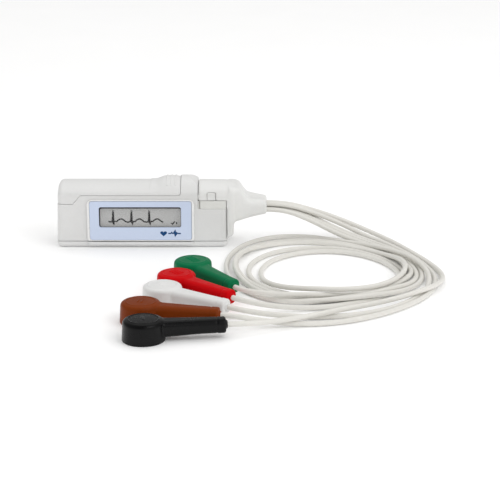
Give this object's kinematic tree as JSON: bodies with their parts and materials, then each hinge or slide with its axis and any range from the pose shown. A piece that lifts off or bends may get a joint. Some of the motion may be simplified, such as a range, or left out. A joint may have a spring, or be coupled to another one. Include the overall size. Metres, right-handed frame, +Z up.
{
  "type": "portable ecg recorder",
  "caption": "Pocket ECG recorder with a small display, an arched sliding battery door and a plugged-in patient lead set whose looped wires end in colour-coded snap clips.",
  "frame": {"origin": "middle of the recorder's long narrow bottom face, on the surface it stands on", "axes": "+X along the recorder towards the lead-set plug, display faces -Y, +Z up"},
  "size_m": [0.1414, 0.1254, 0.0257],
  "materials": {
    "case": "fine satin moulded ABS",
    "cover": "fine satin moulded ABS",
    "frame_white": "satin moulded",
    "panel_blue": "printed overlay",
    "window": "clear polycarbonate",
    "lcd": "grey liquid crystal glass",
    "white_plastic": "moulded",
    "board_green": "glass-epoxy laminate",
    "chip_black": "moulded epoxy",
    "steel": "bright",
    "nickel": "nickel plated",
    "brass": "machined",
    "rubber_grey": "soft",
    "cell": "foil jacket",
    "key_grey": "silicone",
    "plug_white": "satin moulded",
    "wire_white": "soft jacket",
    "clip_black": "moulded vinyl",
    "clip_brown": "moulded vinyl",
    "clip_white": "moulded vinyl",
    "clip_green": "moulded vinyl",
    "clip_red": "moulded vinyl",
    "label": "blank foil label"
  },
  "bodies": {
    "recorder": {"main_case": "case", "bottom_cover": "cover", "case_seal": "rubber_grey", "cover_screws": "steel", "case_inserts": "brass", "display_frame": "frame_white", "front_panel": "panel_blue", "lcd_window": "window", "lcd_module": "lcd", "lcd_holder": "white_plastic", "lcd_backlight": "white_plastic", "contact_strips": "rubber_grey", "main_board": "board_green", "board_standoffs": "brass", "board_chips": "chip_black", "board_passives": "chip_black", "button_board": "board_green", "button_pads": "rubber_grey", "battery_cell": "cell", "battery_spring": "nickel", "spring_plate": "nickel", "battery_contact": "nickel", "battery_cradle": "white_plastic", "cradle_brackets": "white_plastic", "rear_label": "label", "receptacle": "white_plastic", "receptacle_pins": "brass"},
    "door": {"battery_door": "case", "door_pad": "rubber_grey"},
    "lead_set": {"plug_front_shell": "plug_white", "plug_rear_shell": "plug_white", "plug_core": "white_plastic", "plug_contacts": "brass", "strain_relief": "plug_white", "lead_wire_black": "wire_white", "clip_body_black": "clip_black", "snap_socket_black": "nickel", "snap_spring_black": "steel", "lead_wire_brown": "wire_white", "clip_body_brown": "clip_brown", "snap_socket_brown": "nickel", "snap_spring_brown": "steel", "lead_wire_white": "wire_white", "clip_body_white": "clip_white", "snap_socket_white": "nickel", "snap_spring_white": "steel", "lead_wire_green": "wire_white", "clip_body_green": "clip_green", "snap_socket_green": "nickel", "snap_spring_green": "steel", "lead_wire_red": "wire_white", "clip_body_red": "clip_red", "snap_socket_red": "nickel", "snap_spring_red": "steel"},
    "latch_front": {"plug_latch_front": "plug_white"},
    "latch_rear": {"plug_latch_rear": "plug_white"},
    "event_key": {"event_button": "key_grey"},
    "menu_key": {"menu_button": "key_grey"}
  },
  "joints": [
    {"name": "battery_door_slide", "type": "slide", "parent": "recorder", "child": "door", "axis": [-1, 0, 0], "range_m": [0, 0.05]},
    {"name": "lead_plug_pull", "type": "slide", "parent": "recorder", "child": "lead_set", "axis": [1, 0, 0], "range_m": [0, 0.015]},
    {"name": "latch_front_squeeze", "type": "slide", "parent": "lead_set", "child": "latch_front", "axis": [0, 1, 0], "range_m": [0, 0.0006], "stiffness_N_per_m": 800},
    {"name": "latch_rear_squeeze", "type": "slide", "parent": "lead_set", "child": "latch_rear", "axis": [0, -1, 0], "range_m": [0, 0.0006], "stiffness_N_per_m": 800},
    {"name": "event_key_press", "type": "slide", "parent": "recorder", "child": "event_key", "axis": [0, -1, 0], "range_m": [0, 0.0005], "stiffness_N_per_m": 400},
    {"name": "menu_key_press", "type": "slide", "parent": "recorder", "child": "menu_key", "axis": [0, -1, 0], "range_m": [0, 0.0005], "stiffness_N_per_m": 400}
  ]
}
